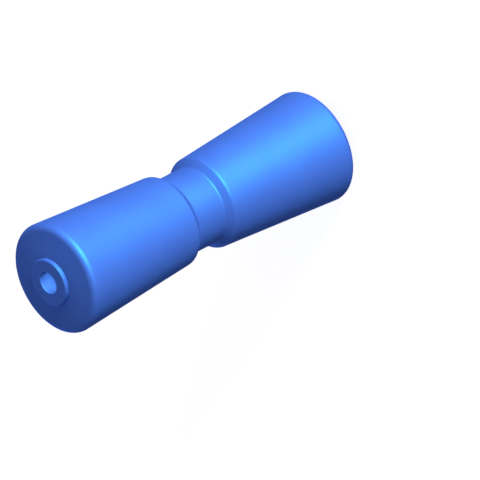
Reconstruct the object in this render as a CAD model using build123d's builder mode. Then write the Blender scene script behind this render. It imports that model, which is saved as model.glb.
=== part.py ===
"""Keel roller of a boat trailer, moulded in one piece, standing on one end.

Two equal halves flare from a necked groove, where the boat's keel runs, to rounded rims. Each end
face is a shallow cone with a flat boss in its middle, and a bore for the spindle runs right through.

Millimetres. Origin at the middle of the lower boss's face, +Z up along the spindle's axis.
"""

import os

from build123d import *

# Length, over the faces of the two bosses: 8 inches
roller_length = 203.2

# Bore, for a half-inch spindle on which the roller turns freely
spindle_diameter = 12.7
spindle_clearance = 0.05

# Boss, the washer face round each mouth of the bore; it stands straight on the end face, with no radius
boss_diameter = 27.3
boss_height = 2.4
boss_edge_radius = 0.8

# End face, which falls back from the boss's foot to the rim
end_face_fall = 2.1

# Rim: the diameter is where flare and end face would meet, 63.5 (2 1/2 inches) over the rounding
rim_diameter = 64.0
rim_radius = 3.6

# Shoulder, the small end of each flare
shoulder_diameter = 52.4
shoulder_radius = 2.2

# Groove round the middle: a straight neck between two sloped walls
groove_depth = 4.1
neck_length = 19.7
groove_wall_run = 3.8
neck_radius = 1.4

# Radii and heights above the middle of the roller, from the sizes above
bore_radius = spindle_diameter / 2 + spindle_clearance
boss_outer = boss_diameter / 2
rim_outer = rim_diameter / 2
shoulder_outer = shoulder_diameter / 2
neck_outer = shoulder_outer - groove_depth
boss_face = roller_length / 2
boss_foot = boss_face - boss_height
rim_height = boss_foot - end_face_fall
neck_end = neck_length / 2
shoulder_height = neck_end + groove_wall_run

os.makedirs("parts", exist_ok=True)

# The section stands on the spindle's axis, with its own zero at the middle of the roller
middle = Plane.XY.offset(roller_length / 2)
section = Plane(origin=middle.origin, x_dir=(1, 0, 0), z_dir=(0, -1, 0))

with BuildPart() as roller:
    # Upper half: neck, groove wall, flare, rim, end face and boss, turned about the axis
    with BuildSketch(section):
        with BuildLine():
            outline = FilletPolyline(
                (neck_outer, 0),
                (neck_outer, neck_end),
                (shoulder_outer, shoulder_height),
                (rim_outer, rim_height),
                (boss_outer, boss_foot),
                (boss_outer, boss_face),
                (0, boss_face),
                radius=[neck_radius, shoulder_radius, rim_radius, 0, boss_edge_radius],
            )
            Polyline(outline @ 1, (0, 0), outline @ 0)
        make_face()
    revolve(axis=Axis.Z)

    # Lower half, alike
    mirror(about=middle)

    # Bore, from boss to boss
    Hole(radius=bore_radius)

roller.part.label = "roller"
export_step(roller.part, "parts/roller.step")

print(f"roller: {roller.part.volume / 1000:.1f} cm3, {roller.part.bounding_box().size}")
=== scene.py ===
"""Looks of a boat trailer's keel roller: moulded polyurethane, a pale floor, soft lamps and the camera.

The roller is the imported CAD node, and nothing is added to it. Metres. It stands on z = 0, bore upright.
"""

import math

import bpy
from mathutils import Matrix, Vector


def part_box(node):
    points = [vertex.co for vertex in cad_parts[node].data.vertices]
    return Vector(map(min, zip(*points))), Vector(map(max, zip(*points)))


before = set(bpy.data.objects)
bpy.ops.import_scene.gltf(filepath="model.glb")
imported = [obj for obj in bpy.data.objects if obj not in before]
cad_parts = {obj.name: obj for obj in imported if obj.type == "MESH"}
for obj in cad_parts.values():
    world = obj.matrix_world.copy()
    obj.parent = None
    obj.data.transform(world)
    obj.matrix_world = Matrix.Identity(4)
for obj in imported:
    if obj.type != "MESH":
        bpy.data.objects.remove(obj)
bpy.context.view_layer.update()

MM = 0.001
WHITE = "#ffffff"

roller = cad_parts["roller"]
low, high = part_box("roller")
middle = (low + high) / 2
roller_length = high.z - low.z


def linear(hex_colour):
    """Turns an sRGB hex colour into the linear colour that a socket takes."""
    channels = [int(hex_colour[i : i + 2], 16) / 255 for i in (1, 3, 5)]
    return [c / 12.92 if c <= 0.04045 else ((c + 0.055) / 1.055) ** 2.4 for c in channels] + [1.0]


def add(tree, kind, settings=None, inputs=None, links=None):
    """Adds a node with its settings, and sets or links its inputs, by name or by number."""
    node = tree.nodes.new(kind)
    for name, value in (settings or {}).items():
        setattr(node, name, value)
    for name, value in (inputs or {}).items():
        node.inputs[name].default_value = value
    for name, output in (links or {}).items():
        tree.links.new(output, node.inputs[name])
    return node


def emptied(owner):
    """Gives a new material or world an empty node tree, and returns the tree."""
    owner.use_nodes = True
    owner.node_tree.nodes.clear()
    return owner.node_tree


# Moulded polyurethane, dyed blue right through. The eye sees a smooth, close skin with a soft, wide sheen.
DYE = "#547bed"
DYE_DEEP = "#4e75e7"

# The dye clouds a little, over about 2 cm, where the melt flowed into the mould
DYE_CLOUD = 22 * MM

# A small metallic share keeps the sheen as blue as the skin, where a plain plastic's would be white at the
# edges. The grazing blue tints that share there.
METALLIC_SHARE = 0.12
GRAZING_BLUE = "#5684b4"
POLYURETHANE_IOR = 1.5

# The sheen changes with the clouds. The noise has most of its values between its low and its high.
NOISE_LOW = 0.3
NOISE_HIGH = 0.7
SMOOTHEST = 0.55
ROUGHEST = 0.59

# The mould's own grain is some 0.4 mm wide, less than a pixel, so it is drawn four times as wide to show
MOULD_GRAIN = 0.4 * MM
DRAWN_GRAIN = 4 * MOULD_GRAIN
DRAWN_GRAIN_HEIGHT = 0.1 * MM


def moulded_polyurethane():
    """The roller's one material: clouded dye, a sheen that follows the clouds, and a fine grain."""
    material = bpy.data.materials.new("moulded polyurethane")
    tree = emptied(material)
    place = add(tree, "ShaderNodeTexCoord").outputs["Object"]

    cloud = add(
        tree, "ShaderNodeTexNoise",
        inputs={"Scale": 1 / DYE_CLOUD, "Detail": 3.0, "Roughness": 0.55},
        links={"Vector": place},
    )
    dye = add(
        tree, "ShaderNodeMix", {"data_type": "RGBA"},
        inputs={"A": linear(DYE_DEEP), "B": linear(DYE)},
        links={"Factor": cloud.outputs["Fac"]},
    )
    sheen = add(
        tree, "ShaderNodeMapRange",
        inputs={"From Min": NOISE_LOW, "From Max": NOISE_HIGH, "To Min": SMOOTHEST, "To Max": ROUGHEST},
        links={"Value": cloud.outputs["Fac"]},
    )
    grain = add(
        tree, "ShaderNodeTexNoise",
        inputs={"Scale": 1 / DRAWN_GRAIN, "Detail": 2.0, "Roughness": 0.6},
        links={"Vector": place},
    )
    skin = add(
        tree, "ShaderNodeBump",
        inputs={"Strength": 1.0, "Distance": DRAWN_GRAIN_HEIGHT},
        links={"Height": grain.outputs["Fac"]},
    )
    polyurethane = add(
        tree, "ShaderNodeBsdfPrincipled",
        inputs={
            "Metallic": METALLIC_SHARE,
            "IOR": POLYURETHANE_IOR,
            "Specular IOR Level": 0.0,
            "Specular Tint": linear(GRAZING_BLUE),
        },
        links={
            "Base Color": dye.outputs["Result"],
            "Roughness": sheen.outputs["Result"],
            "Normal": skin.outputs["Normal"],
        },
    )
    add(tree, "ShaderNodeOutputMaterial", links={"Surface": polyurethane.outputs["BSDF"]})
    return material


roller.data.materials.clear()
roller.data.materials.append(moulded_polyurethane())


# Matt white board, the floor. The eye sees plain white, with a faint soft shadow of the roller.
# The board is a little blue, which keeps that shadow plain under the warm light of the room.
BOARD = "#d4d3db"
BOARD_GLOW = 0.85
FLOOR_SIZE = 40 * roller_length


def seen_directly(tree):
    """1 for rays from the camera and those that metal or glass passes on, 0 for the light on the roller."""
    rays = add(tree, "ShaderNodeLightPath").outputs
    camera_or_metal = add(
        tree, "ShaderNodeMath", {"operation": "MAXIMUM"},
        links={0: rays["Is Camera Ray"], 1: rays["Is Glossy Ray"]},
    )
    any_of_three = add(
        tree, "ShaderNodeMath", {"operation": "MAXIMUM"},
        links={0: camera_or_metal.outputs["Value"], 1: rays["Is Transmission Ray"]},
    )
    return any_of_three.outputs["Value"]


def matt_board():
    """Board that takes the roller's shadow, with a glow that only the camera, metal and glass see."""
    material = bpy.data.materials.new("matt board")
    tree = emptied(material)
    board = add(tree, "ShaderNodeBsdfDiffuse", inputs={"Color": linear(BOARD)})
    strength = add(
        tree, "ShaderNodeMath", {"operation": "MULTIPLY"},
        inputs={1: BOARD_GLOW},
        links={0: seen_directly(tree)},
    )
    glow = add(tree, "ShaderNodeEmission", links={"Strength": strength.outputs["Value"]})
    both = add(tree, "ShaderNodeAddShader", links={0: board.outputs["BSDF"], 1: glow.outputs["Emission"]})
    add(tree, "ShaderNodeOutputMaterial", links={"Surface": both.outputs["Shader"]})
    return material


bpy.ops.object.select_all(action="DESELECT")
bpy.ops.mesh.primitive_plane_add(size=FLOOR_SIZE)
floor = bpy.context.object
floor.name = "floor"
floor.data.materials.append(matt_board())


# Room: dim, faintly warm light from all round, and white where the camera sees past the floor
ROOM_LIGHT = "#696b63"


def pale_room():
    """The world round the roller and the floor."""
    world = bpy.data.worlds.new("room")
    tree = emptied(world)
    colour = add(
        tree, "ShaderNodeMix", {"data_type": "RGBA"},
        inputs={"A": linear(ROOM_LIGHT), "B": linear(WHITE)},
        links={"Factor": seen_directly(tree)},
    )
    walls = add(tree, "ShaderNodeBackground", links={"Color": colour.outputs["Result"]})
    add(tree, "ShaderNodeOutputWorld", links={"Surface": walls.outputs["Background"]})
    return world


bpy.context.scene.world = pale_room()


def outward(azimuth, elevation):
    """Unit vector away from the roller, by degrees round from the camera's side and up from level."""
    azimuth, elevation = math.radians(azimuth), math.radians(elevation)
    level = math.cos(elevation)
    return Vector((math.sin(azimuth) * level, -math.cos(azimuth) * level, math.sin(elevation)))


def softbox(name, azimuth, elevation, distance, size, power, colour=WHITE, aim=middle, passed_on=True):
    """A square lamp that faces its aim. Light that isn't passed on ends where it first lands."""
    light = bpy.data.lights.new(name, "AREA")
    light.size = size
    light.energy = power
    light.color = linear(colour)[:3]
    if not passed_on:
        light.cycles.max_bounces = 0
    box = bpy.data.objects.new(name, light)
    bpy.context.scene.collection.objects.link(box)
    towards = outward(azimuth, elevation)
    box.location = aim + distance * towards
    box.rotation_mode = "QUATERNION"
    box.rotation_quaternion = towards.to_track_quat("Z", "Y")
    return box


# Key lamp, right of the camera and a little above the roller's middle
DAYLIGHT = "#fdfdff"

# Its light isn't passed on, so the boss's foot and the groove stay as plain as in the photograph
softbox(
    "key", azimuth=24, elevation=6.5, distance=4.0, size=1.0, power=148.0,
    colour=DAYLIGHT, passed_on=False,
)

# Top lamp, dim, for the end face
softbox("top", azimuth=0, elevation=90, distance=1.6, size=0.8, power=0.84)

# Fill lamp, dim, behind the roller, so that its far side isn't flat
softbox("fill", azimuth=190, elevation=0, distance=1.6, size=0.2, power=12.0)

# Gloss lamp, beside the key lamp, which shows in the sheen alone, as the pale streak along each half
STREAK_CYAN = "#56ffc4"

gloss_lamp = softbox(
    "gloss", azimuth=22, elevation=5, distance=4.0, size=0.6, power=1810.0,
    colour=STREAK_CYAN, passed_on=False,
)
gloss_lamp.visible_diffuse = False

# Bore lamp, a grain of light inside the upper mouth, so that the wall of the bore shows its colour
BORE_CYAN = "#d6ffe8"
BORE_LAMP_DEPTH = 5 * MM
BORE_LAMP_SPREAD = 100

inside_mouth = Vector((middle.x, middle.y, high.z - BORE_LAMP_DEPTH))
bore_lamp = softbox(
    "bore", azimuth=16, elevation=0, distance=5 * MM, size=3 * MM, power=0.0007,
    colour=BORE_CYAN, aim=inside_mouth, passed_on=False,
)
bore_lamp.data.spread = math.radians(BORE_LAMP_SPREAD)
bore_lamp.visible_camera = False


# Camera: the photograph's view, from above the roller's near end, rolled so that the roller lies aslant
PICTURE_PIXELS = 480
PIXELS_PER_MM = 1.861
VIEW_ELEVATION = 35.8
VIEW_ROLL = -117.45
CAMERA_DISTANCE = 1.0

# The pixel at which the roller's middle lies, from the picture's upper left corner
ROLLER_MIDDLE_PIXEL = (184.35, 212.35)

pixel = MM / PIXELS_PER_MM

camera_data = bpy.data.cameras.new("camera")
camera_data.type = "ORTHO"
camera_data.ortho_scale = PICTURE_PIXELS * pixel
camera = bpy.data.objects.new("camera", camera_data)
bpy.context.scene.collection.objects.link(camera)
bpy.context.scene.camera = camera

# In this order the camera is rolled first, while it looks straight down, and then tilted up
camera.rotation_mode = "ZYX"
camera.rotation_euler = (math.radians(90 - VIEW_ELEVATION), 0.0, math.radians(VIEW_ROLL))
turn = camera.rotation_euler.to_matrix()
right, up = turn.col[0], turn.col[1]
off_right = (PICTURE_PIXELS / 2 - ROLLER_MIDDLE_PIXEL[0]) * pixel
off_up = (ROLLER_MIDDLE_PIXEL[1] - PICTURE_PIXELS / 2) * pixel
facing_roller = middle + CAMERA_DISTANCE * outward(0, VIEW_ELEVATION)
camera.location = facing_roller + off_right * right + off_up * up

bpy.context.scene.view_settings.view_transform = "Standard"
